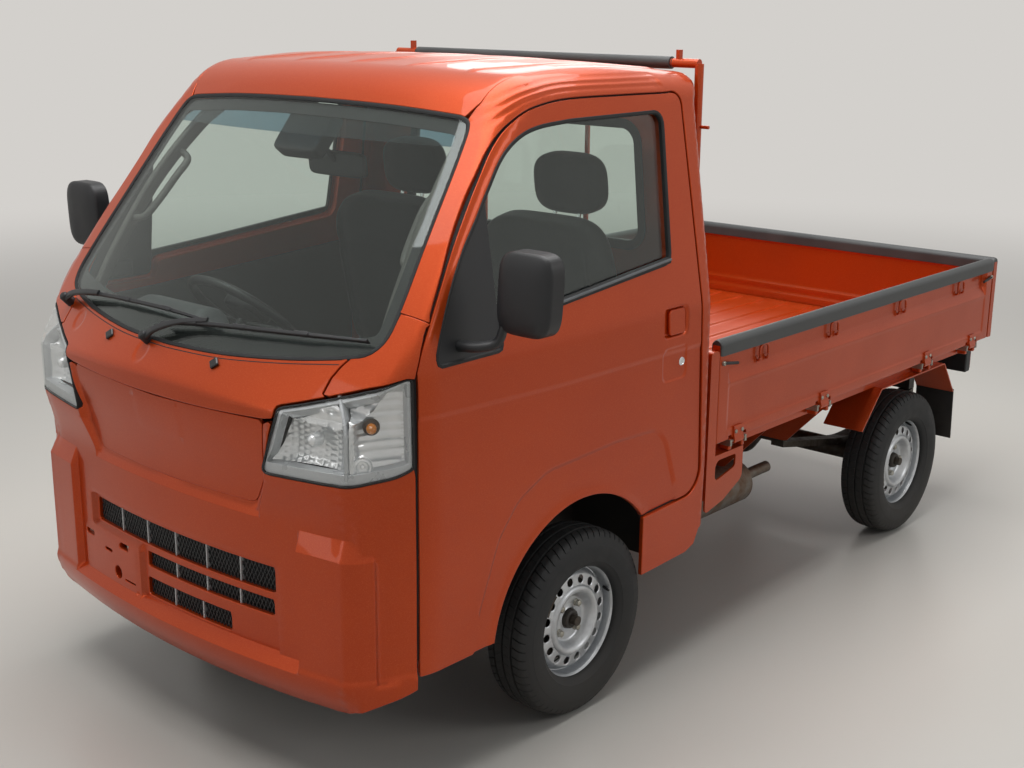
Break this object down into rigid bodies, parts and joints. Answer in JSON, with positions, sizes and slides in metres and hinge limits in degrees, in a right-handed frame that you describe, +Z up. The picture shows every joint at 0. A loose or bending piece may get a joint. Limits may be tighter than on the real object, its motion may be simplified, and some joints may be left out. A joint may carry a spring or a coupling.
{
  "type": "kei truck",
  "caption": "Small cab-over pickup truck with hinged doors, steered front wheels and a flat load bed whose side gates and tail gate drop down.",
  "frame": {"origin": "middle of the vehicle's length and width, on the road", "axes": "+X to the vehicle's left, +Y to its rear, +Z up; the nose faces -Y"},
  "size_m": [1.9348, 3.395, 1.7719],
  "materials": {
    "body_paint": "orange metallic enamel, gloss",
    "chassis_black": "black chassis paint, satin",
    "glass": "tinted safety glass",
    "lamp_lens": "clear moulded lens",
    "tail_lens": "red and clear moulded lens",
    "black_plastic": "grained black moulding",
    "cabin_plastic": "dark grey grained moulding",
    "seat_fabric": "dark grey woven cover",
    "tyre_rubber": "black tyre rubber",
    "wheel_silver": "silver wheel paint",
    "bare_steel": "dark cast and forged steel",
    "flap_rubber": "black rubber sheet",
    "tank_steel": "black tank paint",
    "exhaust_steel": "aluminised steel"
  },
  "bodies": {
    "chassis": {"front_panel": "body_paint", "headlamps": "lamp_lens", "cab_side_left": "body_paint", "cab_side_right": "body_paint", "roof_panel": "body_paint", "cab_back_panel": "body_paint", "windscreen": "glass", "rear_window": "glass", "front_bumper": "body_paint", "cab_floor": "body_paint", "dashboard": "cabin_plastic", "seats": "seat_fabric", "steering_column": "cabin_plastic", "frame_rails": "chassis_black", "frame_cross_members": "chassis_black", "spring_hangers": "chassis_black", "front_suspension": "chassis_black", "rear_axle": "bare_steel", "leaf_springs": "chassis_black", "engine_and_shaft": "bare_steel", "fuel_tank": "tank_steel", "exhaust": "exhaust_steel", "bed_floor": "body_paint", "bed_front_wall": "body_paint", "bed_runners": "body_paint", "bed_sills": "body_paint", "bed_bearers": "body_paint", "bed_outriggers": "body_paint", "corner_plates": "body_paint", "gate_hinge_pins": "body_paint", "guard_frame": "body_paint", "rear_fenders": "body_paint", "mud_flaps": "flap_rubber", "tail_lamps": "tail_lens"},
    "door_left": {"door_left": "body_paint", "door_glass_left": "glass", "mirror_left": "black_plastic"},
    "door_right": {"door_right": "body_paint", "door_glass_right": "glass", "mirror_right": "black_plastic"},
    "side_gate_left": {"side_gate_left": "body_paint"},
    "side_gate_right": {"side_gate_right": "body_paint"},
    "tail_gate": {"tail_gate": "body_paint"},
    "steering_wheel": {"steering_wheel": "cabin_plastic"},
    "knuckle_left": {"knuckle_left": "bare_steel"},
    "knuckle_right": {"knuckle_right": "bare_steel"},
    "wheel_front_left": {"tyre_front_left": "tyre_rubber", "rim_front_left": "wheel_silver"},
    "wheel_front_right": {"tyre_front_right": "tyre_rubber", "rim_front_right": "wheel_silver"},
    "wheel_rear_left": {"tyre_rear_left": "tyre_rubber", "rim_rear_left": "wheel_silver"},
    "wheel_rear_right": {"tyre_rear_right": "tyre_rubber", "rim_rear_right": "wheel_silver"}
  },
  "joints": [
    {"name": "door_left_hinge", "type": "hinge", "parent": "chassis", "child": "door_left", "pos_m": [0.7175, -1.4125, 0.738], "axis": [0, 0, -1], "range_deg": [0, 65]},
    {"name": "door_right_hinge", "type": "hinge", "parent": "chassis", "child": "door_right", "pos_m": [-0.7175, -1.4125, 0.738], "axis": [0, 0, 1], "range_deg": [0, 65]},
    {"name": "side_gate_left_hinge", "type": "hinge", "parent": "chassis", "child": "side_gate_left", "pos_m": [0.7295, 0.7, 0.632], "axis": [0, 1, 0], "range_deg": [0, 165]},
    {"name": "side_gate_right_hinge", "type": "hinge", "parent": "chassis", "child": "side_gate_right", "pos_m": [-0.7295, 0.7, 0.632], "axis": [0, -1, 0], "range_deg": [0, 165]},
    {"name": "tail_gate_hinge", "type": "hinge", "parent": "chassis", "child": "tail_gate", "pos_m": [0, 1.6895, 0.632], "axis": [-1, 0, 0], "range_deg": [0, 165]},
    {"name": "steer_left", "type": "hinge", "parent": "chassis", "child": "knuckle_left", "pos_m": [0.535, -0.8475, 0.264], "axis": [0, 0, 1], "range_deg": [-35, 35]},
    {"name": "steer_right", "type": "hinge", "parent": "chassis", "child": "knuckle_right", "pos_m": [-0.535, -0.8475, 0.264], "axis": [0, 0, 1], "range_deg": [-35, 35]},
    {"name": "steering_wheel_turn", "type": "hinge", "parent": "chassis", "child": "steering_wheel", "pos_m": [-0.32, -1.1525, 1.02], "axis": [0, 0.6691, 0.7431], "range_deg": [-595, 595]},
    {"name": "wheel_front_left_spin", "type": "hinge", "parent": "knuckle_left", "child": "wheel_front_left", "pos_m": [0.6525, -0.8475, 0.264], "axis": [-1, 0, 0], "continuous": true},
    {"name": "wheel_front_right_spin", "type": "hinge", "parent": "knuckle_right", "child": "wheel_front_right", "pos_m": [-0.6525, -0.8475, 0.264], "axis": [-1, 0, 0], "continuous": true},
    {"name": "wheel_rear_left_spin", "type": "hinge", "parent": "chassis", "child": "wheel_rear_left", "pos_m": [0.6525, 1.0525, 0.264], "axis": [-1, 0, 0], "continuous": true},
    {"name": "wheel_rear_right_spin", "type": "hinge", "parent": "chassis", "child": "wheel_rear_right", "pos_m": [-0.6525, 1.0525, 0.264], "axis": [-1, 0, 0], "continuous": true}
  ],
  "couplings": [
    {"joint": "steer_right", "follows": "steer_left", "ratio": 1},
    {"joint": "steering_wheel_turn", "follows": "steer_left", "ratio": 17}
  ]
}
